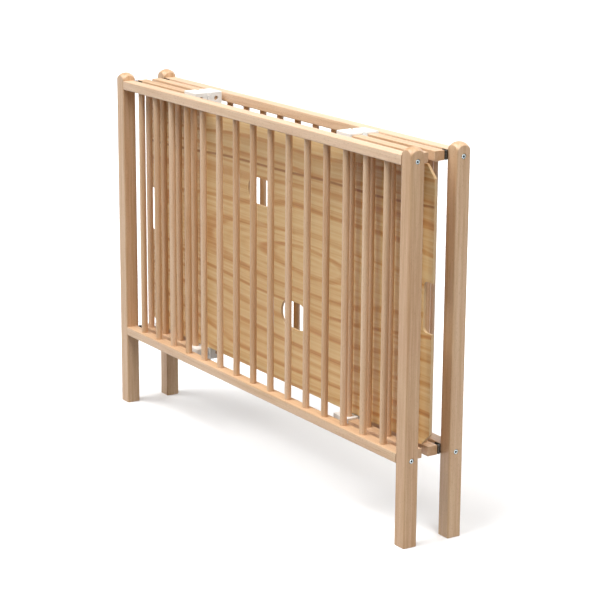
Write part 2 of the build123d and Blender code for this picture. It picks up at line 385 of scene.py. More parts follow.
@dataclass(frozen=True)
class FoilFinish:
    """Base board: thin board under a printed wood-grain foil with a satin lacquer.

    The print is of a flat-sawn softwood: yellow ground, orange-brown growth lines that run along the
    board, crowded towards its long edges, and wide open arches across the middle.

    Attributes:
        ground: The yellow ground.
        pale: The palest streaks.
        line: The growth lines.
        dark: The deepest lines.
        rim: The banding on the narrow rim.
        middle_height: Height of the arches' middle line, in millimetres.
        middle_along: Place of the arches' middle along the board, in millimetres.
        hill_length: Length over which the arches open, in millimetres.
        hill_height: Height over which they do.
        wide_rings: How fast the wide growth lines follow each other, in radians for each hill height.
        thin_rings: The same for the thin ones.
        main_line_height: Height of the one line that stands out, in millimetres.
        main_line_slope: How much it rises for each length along the board.
        main_line_sway: How far it sways up and down, in metres.
    """

    ground: str = "#dfba80"
    pale: str = "#e8ca94"
    line: str = "#cd965a"
    dark: str = "#a0622f"
    rim: str = "#cbaa80"
    middle_height: float = 530.0
    middle_along: float = 160.0
    hill_length: float = 700.0
    hill_height: float = 120.0
    wide_rings: float = 17.0
    thin_rings: float = 61.0
    main_line_height: float = 722.0
    main_line_slope: float = 0.028
    main_line_sway: float = 0.05

    def material(self) -> bpy.types.Material:
        """Builds the material: growth lines are the level lines of a long hill, roughened by noise.

        Returns:
            The material.
        """
        made, shader = new_material("board_wood_grain_foil", {"Coat Weight": 0.2, "Coat Roughness": 0.3})
        place = add(made, "TexCoord")

        def noise(along: float, across: float, detail: float, roughness: float) -> bpy.types.NodeSocket:
            """Noise stretched along the board."""
            return stretched_noise(made, place.outputs["Object"], (along, across, across), detail, roughness)

        wander = noise(900.0, 170.0, 2.0, 0.4)
        centred = add(made, "VectorMath", {0: place.outputs["Object"], 1: (
            self.middle_along * METRES, 0.0, self.middle_height * METRES)}, operation="SUBTRACT")
        scaled = add(made, "VectorMath", {0: centred.outputs["Vector"], 1: (
            rate(self.hill_length), 0.0, rate(self.hill_height))}, operation="MULTIPLY")
        hill = add(made, "VectorMath", {0: scaled.outputs["Vector"]}, operation="LENGTH")
        height = weighted_sum(made, ((hill.outputs["Value"], 1.0), (wander, 1.1)), 0.0)
        waves = []
        for turns in (self.wide_rings, self.thin_rings):
            rings = add(made, "Math", {0: height, 1: turns}, operation="MULTIPLY")
            waves.append(add(made, "Math", {0: rings.outputs[0]}, operation="SINE").outputs[0])
        growth = add(made, "MapRange", {"Value": waves[0], "From Min": 0.5, "From Max": 1.0},
                     interpolation_type="SMOOTHSTEP")
        streaks = noise(1900.0, 8.0, 3.0, 0.5)
        fine = noise(1100.0, 2.6, 2.0, 0.55)
        bands = noise(1500.0, 80.0, 2.0, 0.5)
        mixed = weighted_sum(made, ((growth.outputs["Result"], 0.2), (waves[1], 0.035), (streaks, 0.4),
                                    (fine, 0.26), (bands, 0.34)), -0.03)
        printed = add(made, "ValToRGB", {"Fac": mixed}, stops=(
            (0.36, self.pale), (0.5, self.ground), (0.7, self.line), (0.95, self.dark)))
        # One growth line stands out, dark and thin, along the upper part of the board.
        sway = noise(700.0, 400.0, 1.0, 0.4)
        parts = add(made, "SeparateXYZ", {"Vector": place.outputs["Object"]})
        lowest = -self.main_line_sway / 2 - self.main_line_height * METRES
        swayed = weighted_sum(made, ((sway, self.main_line_sway), (parts.outputs["Z"], 1.0),
                                     (parts.outputs["X"], -self.main_line_slope)), lowest)
        away = add(made, "Math", {0: swayed}, operation="ABSOLUTE")
        lined = drawn_towards(made, printed.outputs["Color"], self.dark, away.outputs[0],
                              (0.0042, 0.0016), 0.8)
        # The narrow rim is banded in a plain pale tone.
        flat = absolute_part(made, place.outputs["Normal"], 1)
        banded = drawn_towards(made, lined, self.rim, flat, (0.75, 0.4), 0.85)
        gloss = add(made, "MapRange", {"Value": streaks, "To Min": 0.38, "To Max": 0.5})
        relief = add(made, "Bump", {"Height": fine, "Strength": 0.12, "Distance": 0.0002})
        feed(made, shader, {"Base Color": banded, "Roughness": gloss.outputs["Result"],
                            "Normal": relief.outputs["Normal"]})
        return made


@dataclass(frozen=True)
class MouldedFinish:
    """White polypropylene, injection moulded against a finely eroded mould.

    It looks milky and matt, with a soft grain that only breaks up the highlight.

    Attributes:
        body: The plastic's colour.
        handled: Its colour where hands have greyed it.
        grit: Size of the mould's erosion, in millimetres; drawn at twice its real size to show.
    """

    body: str = "#f1f1ee"
    handled: str = "#dfdfdb"
    grit: float = 0.8

    def material(self) -> bpy.types.Material:
        """Builds the material: a soft grain in gloss and relief, and a faint greying in patches.

        Returns:
            The material.
        """
        made, shader = new_material("white_polypropylene_moulded", {
            "IOR": 1.49, "Subsurface Weight": 0.08, "Subsurface Radius": (0.004, 0.004, 0.004),
            "Subsurface Scale": 0.5})
        place = add(made, "TexCoord")
        grain = add(made, "TexNoise", {"Vector": place.outputs["Object"], "Scale": rate(self.grit),
                                       "Detail": 2.0})
        patches = add(made, "TexNoise", {"Vector": place.outputs["Object"], "Scale": rate(22.0),
                                         "Detail": 3.0})
        colour = drawn_towards(made, linear(self.body), self.handled, patches.outputs["Fac"],
                               (0.5, 0.75), 0.25)
        gloss = add(made, "MapRange", {"Value": grain.outputs["Fac"], "To Min": 0.42, "To Max": 0.6})
        relief = add(made, "Bump", {"Height": grain.outputs["Fac"], "Strength": 0.2, "Distance": 0.0001})
        feed(made, shader, {"Base Color": colour, "Roughness": gloss.outputs["Result"],
                            "Normal": relief.outputs["Normal"]})
        return made


@dataclass(frozen=True)
class ZincFinish:
    """Steel with a clear blue passivated zinc plating, as on screws, bolts and hinge leaves.

    The plating is a cool, slightly cloudy grey with a soft gleam, darker in its scratches.

    Attributes:
        bright: The clean plating.
        cloudy: The dull patches.
        cloud: Size of the patches, in millimetres.
        face_place: Distance of the bolt heads' outer faces from the crib's middle, in millimetres. Below
            it, in their sockets, grease and shade keep the plating dark. Zero for other fittings.
        socket: The colour down there.
    """

    bright: str = "#cfd6d8"
    cloudy: str = "#98a3a6"
    cloud: float = 3.0
    face_place: float = 0.0
    socket: str = "#2c3d42"

    def material(self, name: str) -> bpy.types.Material:
        """Builds the material: cloudy patches over a fine drawn texture.

        Args:
            name: The material's name.

        Returns:
            The material.
        """
        made, shader = new_material(name, {"Metallic": 1.0})
        place = add(made, "TexCoord")
        clouds = add(made, "TexNoise", {"Vector": place.outputs["Object"], "Scale": rate(self.cloud),
                                        "Detail": 3.0})
        fine = add(made, "TexNoise", {"Vector": place.outputs["Object"], "Scale": rate(0.4),
                                      "Detail": 1.0})
        colour = drawn_towards(made, linear(self.bright), self.cloudy, clouds.outputs["Fac"])
        if self.face_place:
            outwards = absolute_part(made, place.outputs["Object"], 0)
            colour = drawn_towards(made, colour, self.socket, outwards, (
                (self.face_place - 0.2) * METRES, (self.face_place - 0.8) * METRES))
        gloss = add(made, "MapRange", {"Value": clouds.outputs["Fac"], "To Min": 0.24, "To Max": 0.5})
        relief = add(made, "Bump", {"Height": fine.outputs["Fac"], "Strength": 0.1, "Distance": 0.0001})
        feed(made, shader, {"Base Color": colour, "Roughness": gloss.outputs["Result"],
                            "Normal": relief.outputs["Normal"]})
        return made


@dataclass
class Shell:
    """Points in millimetres with the faces between them, before they become a Blender mesh.

    Attributes:
        points: One row of x, y, z for each point.
        faces: Blocks of point numbers, one row for each face.
        tone: For each point, how pale its piece of wood is, from -1 to 1.
        edge: For each point, 1 on a rounded edge and 0 on a flat.
    """

    points: Array
    faces: list[Array]
    tone: Array
    edge: Array

    def toned(self, tone: float) -> "Shell":
        """The same shell with one tone all over."""
        return Shell(self.points, self.faces, np.full(len(self.points), tone), self.edge)

    def placed(self, signs: Sequence[float], offset: Sequence[float]) -> "Shell":
        """The same shell with its coordinates multiplied by signs and then moved."""
        return Shell(self.points * np.array(signs) + np.array(offset), self.faces, self.tone, self.edge)


def surface(grid: Array, edge: Array | None = None, keep: Array | None = None, closed: bool = False) -> Shell:
    """Joins a grid of points into faces whose columns close into rings.

    Face (i, j) runs through points (i, j), (i, j + 1), (i + 1, j + 1) and (i + 1, j). A row whose
    points all coincide is a pole, which closes when doubles are merged.

    Args:
        grid: Points by row and column.
        edge: The edge value of each column.
        keep: For each face, by row and column, whether it is made.
        closed: Whether the last row is also joined to the first.

    Returns:
        The shell.
    """
    rows, columns = grid.shape[:2]
    numbers = np.arange(rows * columns).reshape(rows, columns)
    upper = np.roll(numbers, -1, axis=0) if closed else numbers[1:]
    lower = numbers if closed else numbers[:-1]
    faces = np.stack([lower, np.roll(lower, -1, axis=1), np.roll(upper, -1, axis=1), upper], axis=-1)
    if keep is not None:
        faces = faces[keep]
    column_edge = np.zeros(columns) if edge is None else edge
    return Shell(grid.reshape(-1, 3), [faces.reshape(-1, 4)], np.zeros(rows * columns),
                 np.tile(column_edge, rows))


def joined(shells: Sequence[Shell]) -> Shell:
    """Puts several shells into one.

    Args:
        shells: The shells.

    Returns:
        One shell with all their points and faces.
    """
    offsets = np.cumsum([0] + [len(shell.points) for shell in shells[:-1]])
    faces = [block + offset for shell, offset in zip(shells, offsets) for block in shell.faces]
    return Shell(np.concatenate([shell.points for shell in shells]), faces,
                 np.concatenate([shell.tone for shell in shells]),
                 np.concatenate([shell.edge for shell in shells]))


def rounded_outline(width: float, height: float, radius: float) -> Array:
    """Outline of a rectangle with rounded corners, anticlockwise from its right upper corner.

    Each corner is a quarter circle about a point that lies in from both sides by the radius, and
    each flat runs straight from one quarter circle to the next.

    Args:
        width: Size along the first axis.
        height: Size along the second axis.
        radius: Radius of the corners.

    Returns:
        Points, one row each. Each corner and the flat after it take ARC_STEPS + FLAT_STEPS of them.
    """
    centres = np.array([[1, 1], [-1, 1], [-1, -1], [1, -1]]) * [width / 2 - radius, height / 2 - radius]
    angles = np.linspace(0, math.pi / 2, ARC_STEPS + 1) + np.arange(4)[:, None] * math.pi / 2
    arcs = centres[:, None] + radius * np.stack([np.cos(angles), np.sin(angles)], axis=-1)
    steps = np.linspace(0, 1, FLAT_STEPS + 1)[1:-1, None]
    starts, ends = arcs[:, -1:], np.roll(arcs, -1, axis=0)[:, :1]
    flats = starts + steps * (ends - starts)
    return np.concatenate([arcs, flats], axis=1).reshape(-1, 2)


def outline_edge() -> Array:
    """Works out the edge value of each point of a rounded outline.

    Returns:
        1 inside its corners, 0 on its flats.
    """
    corner = np.zeros(ARC_STEPS + FLAT_STEPS)
    corner[1:ARC_STEPS] = 1
    return np.tile(corner, 4)


def flat_start(corner: int) -> int:
    """Number of the first point of the flat that follows a rounded outline's corner, from 0."""
    return corner * (ARC_STEPS + FLAT_STEPS) + ARC_STEPS


def carried(rings: Sequence[tuple[float | Array, Array]], axis: int) -> Array:
    """Puts flat outlines at their places along an axis.

    Args:
        rings: Each outline's place, or the places of its points, and the outline in the other two axes.
        axis: 0 for X or 2 for Z.

    Returns:
        Points by row and column.
    """
    return np.stack([np.insert(outline, axis, place, axis=1) for place, outline in rings])


@dataclass(frozen=True)
class Bore:
    """A round blind hole in a wall that is a grid of points.

    Attributes:
        row: First row of the square block of faces that the hole takes the place of.
        column: First column of that block.
        steps: Faces along each side of the block.
        centre: The hole's centre on the wall, in millimetres.
        inwards: Unit vector into the wall.
        radius: The hole's radius.
        depth: The hole's depth.
        lip: Width of the small chamfer round its mouth.
    """

    row: int
    column: int
    steps: int
    centre: tuple[float, float, float]
    inwards: tuple[float, float, float]
    radius: float
    depth: float
    lip: float = 0.3

    def block(self, grid: Array) -> tuple[Array, Array]:
        """Finds the block in its grid.

        Args:
            grid: The wall's points by row and column.

        Returns:
            The numbers of its rows and of its columns.
        """
        rows = np.arange(self.row, self.row + self.steps + 1)
        columns = np.arange(self.column, self.column + self.steps + 1) % grid.shape[1]
        return rows, columns

    def patch(self, grid: Array) -> Shell:
        """Faces from the block's border to the hole, down its wall and over its floor.

        Each point of the border looks at the hole's centre, and the rings lie where that line
        crosses the circles of the mouth, the chamfer and the wall.

        Args:
            grid: The wall's points by row and column.

        Returns:
            The shell that fills the block.
        """
        rows, columns = self.block(grid)
        border = np.concatenate([grid[rows[0], columns[:-1]], grid[rows[:-1], columns[-1]],
                                 grid[rows[-1], columns[:0:-1]], grid[rows[:0:-1], columns[0]]])
        inwards = np.array(self.inwards)
        centre = np.array(self.centre)
        across = border - centre
        across = across - np.outer(across @ inwards, inwards)
        across = across / np.linalg.norm(across, axis=1)[:, None]
        mouth = centre + across * (self.radius + self.lip)
        wall = centre + across * self.radius
        rings = [border, (border + mouth) / 2, mouth, wall + inwards * self.lip, wall + inwards * self.depth,
                 np.broadcast_to(centre + inwards * self.depth, border.shape)]
        return surface(np.stack(rings))


def bored_surface(grid: Array, edge: Array, bores: Sequence[Bore]) -> Shell:
    """A grid of points with holes in it.

    Args:
        grid: Points by row and column.
        edge: The edge value of each column.
        bores: The holes.

    Returns:
        The shell, with the faces round each hole drawn up to it.
    """
    keep = np.ones((grid.shape[0] - 1, grid.shape[1]), dtype=bool)
    for bore in bores:
        rows, columns = bore.block(grid)
        keep[np.ix_(rows[:-1], columns[:-1])] = False
    return joined([surface(grid, edge, keep)] + [bore.patch(grid) for bore in bores])


def stations(places: Sequence[float], half_width: float, steps: int) -> Array:
    """Places along a piece: steps + 1 of them across each hole, in order."""
    spans = [np.linspace(place - half_width, place + half_width, steps + 1) for place in places]
    return np.concatenate(spans)


@dataclass(frozen=True)
class NodeBox:
    """The box of a CAD node, in millimetres.

    Attributes:
        low: Its lowest corner.
        high: Its highest corner.
    """

    low: Array
    high: Array

    @classmethod
    def of(cls, node: str) -> "NodeBox":
        """Reads the box of a node from the frame."""
        low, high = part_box(node)
        return cls(np.array(low) / METRES, np.array(high) / METRES)

    @property
    def centre(self) -> Array:
        """The box's middle."""
        return (self.low + self.high) / 2

    @property
    def size(self) -> Array:
        """The box's lengths."""
        return self.high - self.low


@dataclass
class Workshop:
    """Turns shells into pieces of the scene, and dresses the CAD nodes that stay.

    Attributes:
        materials: The materials by name.
    """

    frame: dict
    materials: dict[str, bpy.types.Material]

    def body_of(self, node: str) -> str:
        """The body that carries a CAD node."""
        bodies = self.frame["record"]["behaviour"]["bodies"]
        return next(body for body, nodes in bodies.items() if node in nodes)

    def piece(self, name: str, shell: Shell, material: str, node: str) -> bpy.types.Object:
        """Makes a piece that stands for a CAD node.

        Args:
            name: The piece's name.
            shell: Its shape.
            material: The name of its material.
            node: The CAD node that it stands for.

        Returns:
            The new object.
        """
        mesh = bpy.data.meshes.new(name)
        faces = [face for block in shell.faces for face in block.tolist()]
        mesh.from_pydata((shell.points * METRES).tolist(), [], faces)
        for label, values in (("tone", shell.tone), ("edge", shell.edge)):
            mesh.attributes.new(label, "FLOAT", "POINT").data.foreach_set("value", values)
        work = bmesh.new()
        work.from_mesh(mesh)
        bmesh.ops.remove_doubles(work, verts=work.verts, dist=MERGE_GAP)
        bmesh.ops.recalc_face_normals(work, faces=work.faces)
        work.to_mesh(mesh)
        work.free()
        mesh.polygons.foreach_set("use_smooth", np.ones(len(mesh.polygons), dtype=bool))
        mesh.set_sharp_from_angle(angle=math.radians(CREASE))
        mesh.materials.append(self.materials[material])
        made = in_scene(name, mesh)
        weighted = made.modifiers.new("even_shading", "WEIGHTED_NORMAL")
        weighted.keep_sharp = True
        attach(made, self.body_of(node))
        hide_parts(node)
        log.info("%s: %d points, %d faces", name, len(mesh.vertices), len(mesh.polygons))
        return made

    def dress(self, node: str, material: str) -> None:
        """Gives a CAD node that stays its material.

        Args:
            node: The node.
            material: The name of the material.
        """
        slots = self.frame["nodes"][node].data.materials
        slots.clear()
        slots.append(self.materials[material])
        log.info("%s: %s", node, material)


@dataclass(frozen=True)
class Post:
    """Square post with eased edges, a chamfered foot, a ball-nosed top and two counterbores.

    Attributes:
        edge_radius: Radius of the long edges.
        foot_chamfer: Width of the foot's chamfer.
        dome_radius: Radius of the ball that shapes the top.
        dome_blend: Width of the small ease between the top and the sides.
        counterbore_radius: Radius of the bolts' counterbores.
        counterbore_depth: Their depth.
        block: Half the side of the block of faces that holds a counterbore.
        dome_rings: Rings of points over the top.
    """

    edge_radius: float = 3.0
    foot_chamfer: float = 1.0
    dome_radius: float = 25.5
    dome_blend: float = 0.6
    counterbore_radius: float = 6.0
    counterbore_depth: float = 6.6
    block: float = 12.0
    dome_rings: int = 12

    def shell(self, box: NodeBox, outwards: int, bolt_heights: Sequence[float]) -> Shell:
        """Works out the post.

        The outline is carried up from the foot. At the top each side ends on the ball
        z = centre + sqrt(radius^2 - x^2 - y^2), and the ball itself is that height over the outline
        drawn in towards the post's axis.

        Args:
            box: The post's box.
            outwards: Sign of X on the side of the counterbores.
            bolt_heights: Heights of the counterbores.

        Returns:
            The closed shell.
        """
        width, depth, height = box.size
        section = rounded_outline(width, depth, self.edge_radius)
        foot = rounded_outline(width - 2 * self.foot_chamfer, depth - 2 * self.foot_chamfer,
                               self.edge_radius - self.foot_chamfer)
        ball_centre = height - self.dome_radius

        def ball(outline: Array) -> Array:
            """Height of the ball over an outline."""
            return ball_centre + np.sqrt(self.dome_radius**2 - (outline**2).sum(axis=1))

        levels = np.concatenate([[self.foot_chamfer], stations(bolt_heights, self.block, HOLE_STEPS)])
        shrink = 1 - self.dome_blend / (width / 2)
        rings = [(0.0, foot * 0), (0.0, foot), *((level, section) for level in levels),
                 (ball(section) - self.dome_blend, section),
                 *((ball(section * s), section * s) for s in np.linspace(shrink, 0, self.dome_rings))]
        grid = carried(rings, 2) * [outwards, 1, 1] + [box.centre[0], box.centre[1], box.low[2]]
        # The counterbores lie in the flat that faces +X before the sign is applied, above three rings.
        face_x = box.centre[0] + outwards * width / 2
        bores = [Bore(3 + k * (HOLE_STEPS + 1), flat_start(3), HOLE_STEPS,
                      (face_x, box.centre[1], level), (-outwards, 0, 0),
                      self.counterbore_radius, self.counterbore_depth)
                 for k, level in enumerate(bolt_heights)]
        return bored_surface(grid, outline_edge(), bores)


@dataclass(frozen=True)
class LongRail:
    """Rail of a long side, with rounded edges and the barrel nuts' bores in its underside.

    Attributes:
        edge_radius: Radius of the long edges.
        nut_radius: Radius of the nuts' bores.
        nut_depth: Their depth.
        block: Half the side of the block of faces that holds a nut's bore.
    """

    edge_radius: float = 2.0
    nut_radius: float = 5.1
    nut_depth: float = 19.0
    block: float = 10.0

    def shell(self, box: NodeBox, nut_place: float, nut_y: float) -> Shell:
        """Works out the rail: its outline carried along X between two flat ends.

        Args:
            box: The rail's box.
            nut_place: Distance of the nuts from the rail's middle, along X.
            nut_y: The nuts' place across the rail.

        Returns:
            The closed shell.
        """
        length, depth, height = box.size
        section = rounded_outline(depth, height, self.edge_radius)
        inner = stations([-nut_place, nut_place], self.block, HOLE_STEPS)
        places = np.concatenate([[-length / 2] * 2, inner, [length / 2] * 2])
        sizes = np.ones(len(places))
        sizes[[0, -1]] = 0
        grid = carried([(x, section * s) for x, s in zip(places, sizes)], 0) + box.centre
        # The bores lie in the flat of the underside, after the two rings of the end.
        bores = [Bore(2 + k * (HOLE_STEPS + 1), flat_start(2), HOLE_STEPS,
                      (box.centre[0] + x, nut_y, box.low[2]), (0, 0, 1),
                      self.nut_radius, self.nut_depth)
                 for k, x in enumerate((-nut_place, nut_place))]
        return bored_surface(grid, outline_edge(), bores)


@dataclass(frozen=True)
class HalfRail:
    """Rail of a half panel, with rounded edges and lightly chamfered ends.

    Attributes:
        edge_radius: Radius of the long edges.
        end_chamfer: Width of the chamfer round both ends.
    """

    edge_radius: float = 1.5
    end_chamfer: float = 0.7

    def shell(self, box: NodeBox) -> Shell:
        """Works out the rail: its outline carried along X, drawn in at both ends.

        Args:
            box: The rail's box.

        Returns:
            The closed shell.
        """
        length, depth, height = box.size
        cut = self.end_chamfer
        section = rounded_outline(depth, height, self.edge_radius)
        small = rounded_outline(depth - 2 * cut, height - 2 * cut, self.edge_radius - cut / 2)
        reach = length / 2
        rings = [(-reach, small * 0), (-reach, small), (cut - reach, section), (reach - cut, section),
                 (reach, small), (reach, small * 0)]
        return surface(carried(rings, 0) + box.centre, outline_edge())


@dataclass(frozen=True)
class Bars:
    """A row of turned round bars.

    Attributes:
        count: How many there are.
        seed: Start of the row's draw of tones.
        steps: Points round each.
        drilled: Numbers of the bars, from the left and from 0, that have pilot holes.
        hole_heights: Heights of those holes.
        hole_radius: Their radius.
        hole_depth: Their depth.
        hole_angle: The direction that they face, in degrees from +X towards +Y.
        hole_block: Half the height of the block of faces that holds one, two faces high and wide.
    """

    count: int
    seed: int
    steps: int = 28
    drilled: tuple[int, ...] = ()
    hole_heights: tuple[float, ...] = (335.0, 484.0)
    hole_radius: float = 1.3
    hole_depth: float = 6.0
    hole_angle: float = 12.0
    hole_block: float = 2.4

    def shell(self, box: NodeBox) -> Shell:
        """Works out the bars: circles carried up, each bar with a tone of its own.

        Args:
            box: The row's box.

        Returns:
            Closed shells, one for each bar.
        """
        radius = BAR_DIAMETER / 2
        turn = math.radians(self.hole_angle)
        angles = turn + np.arange(self.steps) * 2 * math.pi / self.steps
        circle = np.column_stack([np.cos(angles), np.sin(angles)]) * radius
        places = np.linspace(box.low[0] + radius, box.high[0] - radius, self.count)
        tones = np.random.default_rng(self.seed).uniform(-1, 1, self.count)
        edge = np.zeros(self.steps)
        bars = []
        for number, (x, tone) in enumerate(zip(places, tones)):
            drilled = number in self.drilled
            heights = self.hole_heights if drilled else ()
            inner = stations(heights, self.hole_block, 2) if drilled else np.empty(0)
            levels = np.concatenate([[box.low[2]] * 2, inner, [box.high[2]] * 2])
            sizes = np.ones(len(levels))
            sizes[[0, -1]] = 0
            grid = carried([(level, circle * s) for level, s in zip(levels, sizes)], 2)
            grid = grid + [x, box.centre[1], 0]
            facing = (math.cos(turn), math.sin(turn), 0.0)
            bores = [Bore(2 + 3 * k, self.steps - 1, 2,
                          (x + radius * facing[0], box.centre[1] + radius * facing[1], level),
                          (-facing[0], -facing[1], 0.0), self.hole_radius, self.hole_depth, 0.2)
                     for k, level in enumerate(heights)]
            bars.append(bored_surface(grid, edge, bores).toned(tone))
        return joined(bars)


@dataclass(frozen=True)
class Cap:
    """White moulded sleeve over the free end of a half panel's rail, with its hinge knuckles.

    Attributes:
        end_wall: Thickness of the end wall.
        hole_radius: Radius of the hole in the end wall.
        hole_ease: Width of the ease round it.
        edge_radius: Radius of the outer edges.
        inner_radius: Radius of the edges inside.
        fit: Gap between the sleeve and the rail.
        mouth_chamfer: Width of the chamfer round the mouth.
        knuckle_radius: Radius of the hinge's barrel.
        knuckle_gap: Gap between two knuckles.
        knuckle_ease: Height of the ease at a knuckle's ends.
        knuckle_end: Size of its end faces against its outline.
        lug_length: Length of the web between barrel and sleeve, along X.
        lug_reach: Its reach from the axis, along Y.
        end_gap: Distance of the end face from the axis, along X.
    """

    end_wall: float = 5.0
    hole_radius: float = 5.5
    hole_ease: float = 0.4
    edge_radius: float = 1.2
    inner_radius: float = 1.5
    fit: float = 0.15
    mouth_chamfer: float = 0.5
    knuckle_radius: float = 3.0
    knuckle_gap: float = 0.5
    knuckle_ease: float = 0.3
    knuckle_end: float = 0.93
    lug_length: float = 6.0
    lug_reach: float = 6.5
    end_gap: float = 0.1

    def sleeve(self, width: float, height: float, length: float, rail: tuple[float, float]) -> Shell:
        """Works out the sleeve with its end face at x = 0 and its mouth at x = length.

        It is one ring of outlines that turns inside out: from the hole over the end face, along the
        outside, over the mouth, back along the inside and through the hole again.

        Args:
            width: Size along Y.
            height: Size along Z.
            length: Size along X.
            rail: Size of the rail inside it.

        Returns:
            The closed shell.
        """
        r, lip = self.edge_radius, self.mouth_chamfer
        inside = rounded_outline(rail[0] + 2 * self.fit, rail[1] + 2 * self.fit,
                                 self.inner_radius)
        full = rounded_outline(width, height, r)
        circle = full / np.linalg.norm(full, axis=1)[:, None]
        mouth = circle * (self.hole_radius + self.hole_ease)
        rings = [(self.hole_ease, circle * self.hole_radius), (0.0, mouth), (0.0, (mouth + full * 0.9) / 2)]
        for angle in np.linspace(0, math.pi / 2, 5):
            inset = r * (1 - math.sin(angle))
            ring = rounded_outline(width - 2 * inset, height - 2 * inset, max(r - inset, 0.05))
            rings.append((r * (1 - math.cos(angle)), ring))
        rings += [(length - lip, full),
                  (length, rounded_outline(width - 2 * lip, height - 2 * lip, r - lip)),
                  (length, inside), (self.end_wall, inside), (self.end_wall, circle * self.hole_radius)]
        return surface(carried(rings, 0), closed=True)

    def knuckle(self, side: int, low: float, high: float) -> Shell:
        """Works out a knuckle with its axis at x = 0, y = 0, and its sleeve towards +X.

        Its outline is three quarters of a circle, closed by the corners of the web.

        Args:
            side: Sign of Y on the sleeve's side.
            low: Its lower end.
            high: Its upper end.

        Returns:
            The closed shell.
        """
        angles = np.linspace(0, 1.5 * math.pi, 25)
        arc = self.knuckle_radius * np.column_stack([np.cos(angles), np.sin(angles)])
        web = np.array([[0, -self.lug_reach], [self.lug_length, -self.lug_reach], [self.lug_length, 0]])
        outline = np.concatenate([arc, web]) * [1, -side]
        inner = np.array([1, side]) * self.knuckle_radius / 2
        ease = self.knuckle_ease
        small = inner + (outline - inner) * self.knuckle_end
        rings = [(low, np.broadcast_to(inner, outline.shape)), (low, small), (low + ease, outline),
                 (high - ease, outline), (high, small), (high, np.broadcast_to(inner, outline.shape))]
        return surface(carried(rings, 2))

    def shell(self, box: NodeBox, end: End, half: Half, rail: NodeBox) -> Shell:
        """Works out the cap.

        Args:
            box: The cap's box, knuckles included.
            end: The crib's end that it is on.
            half: The half panel that it is on.
            rail: The box of the rail inside it.

        Returns:
            Closed shells for the sleeve and each knuckle.
        """
        height = box.size[2]
        middle_y = rail.centre[1]
        width = 2 * (abs(box.low[1] if half is Half.FRONT else box.high[1]) - abs(middle_y))
        axis_x = (box.high[0] if end is End.LEFT else box.low[0]) + end.value * self.knuckle_radius
        end_x = axis_x + end.value * self.end_gap
        mouth_x = box.low[0] if end is End.LEFT else box.high[0]
        sleeve = self.sleeve(width, height, abs(mouth_x - end_x), (rail.size[1], rail.size[2]))
        shells = [sleeve.placed((end.value, 1, 1), (end_x, middle_y, box.centre[2]))]
        tall = (height - 2 * self.knuckle_gap) / 3
        for zone in (0, 2) if half is Half.FRONT else (1,):
            low = zone * (tall + self.knuckle_gap)
            knuckle = self.knuckle(half.value, low, low + tall)
            shells.append(knuckle.placed((end.value, 1, 1), (axis_x, 0, box.low[2])))
        return joined(shells)


@dataclass(frozen=True)
class LongSide:
    """A long side: two posts, two rails, a row of bars, and their fittings.

    Attributes:
        half: Whether it is the front or the rear one.
        nut_inset: Distance of the barrel nuts from the rails' ends.
        bar_count: How many bars it has.
        drilled: Numbers of the bars with pilot holes, from the left and from 0.
        front_tones: Tones of the front side's left and right posts and of its bottom and top rails.
        rear_tones: The same for the rear side.
    """

    half: Half
    nut_inset: float = 22.0
    bar_count: int = 15
    drilled: tuple[int, ...] = (4, 10)
    front_tones: tuple[float, float, float, float] = (-0.2, -0.7, 0.1, 0.8)
    rear_tones: tuple[float, float, float, float] = (-0.4, -0.1, 0.3, 1.0)

    @property
    def name(self) -> str:
        """The side's name in the CAD."""
        return self.half.name.lower()

    def build(self, shop: Workshop) -> None:
        """Makes the side's pieces and dresses its fittings.

        Args:
            shop: Where pieces are made.
        """
        rails = {level: NodeBox.of(f"{self.name}_{level}_rail") for level in ("bottom", "top")}
        heights = [box.centre[2] for box in rails.values()]
        tones = self.front_tones if self.half is Half.FRONT else self.rear_tones
        for end, tone in zip(End, tones):
            node = f"{self.name}_{end.name.lower()}_post"
            shell = Post().shell(NodeBox.of(node), end.value, heights)
            shop.piece(f"{node}_planed", shell.toned(tone), "beech_up", node)
        bolt_y = NodeBox.of(f"{self.name}_rail_bolts").centre[1]
        for (level, box), tone in zip(rails.items(), tones[2:]):
            node = f"{self.name}_{level}_rail"
            shell = LongRail().shell(box, box.size[0] / 2 - self.nut_inset, bolt_y)
            shop.piece(f"{node}_planed", shell.toned(tone), "beech_along", node)
        node = f"{self.name}_bars"
        bars = Bars(self.bar_count, 3 + self.half.value, drilled=self.drilled)
        shop.piece(f"{node}_turned", bars.shell(NodeBox.of(node)), "beech_up", node)
        shop.dress(f"{self.name}_rail_dowels", "beech_along")
        shop.dress(f"{self.name}_rail_bolts", "bolt")
        shop.dress(f"{self.name}_barrel_nuts", "zinc")
        # The hinge fittings are painted dark: painted shade for the deep shade between the rails and posts.
        for fitting in ("post_hinge_leaves", "post_hinge_pins", "post_hinge_screws"):
            shop.dress(f"{self.name}_{fitting}", "zinc_painted_dark_as_shade")


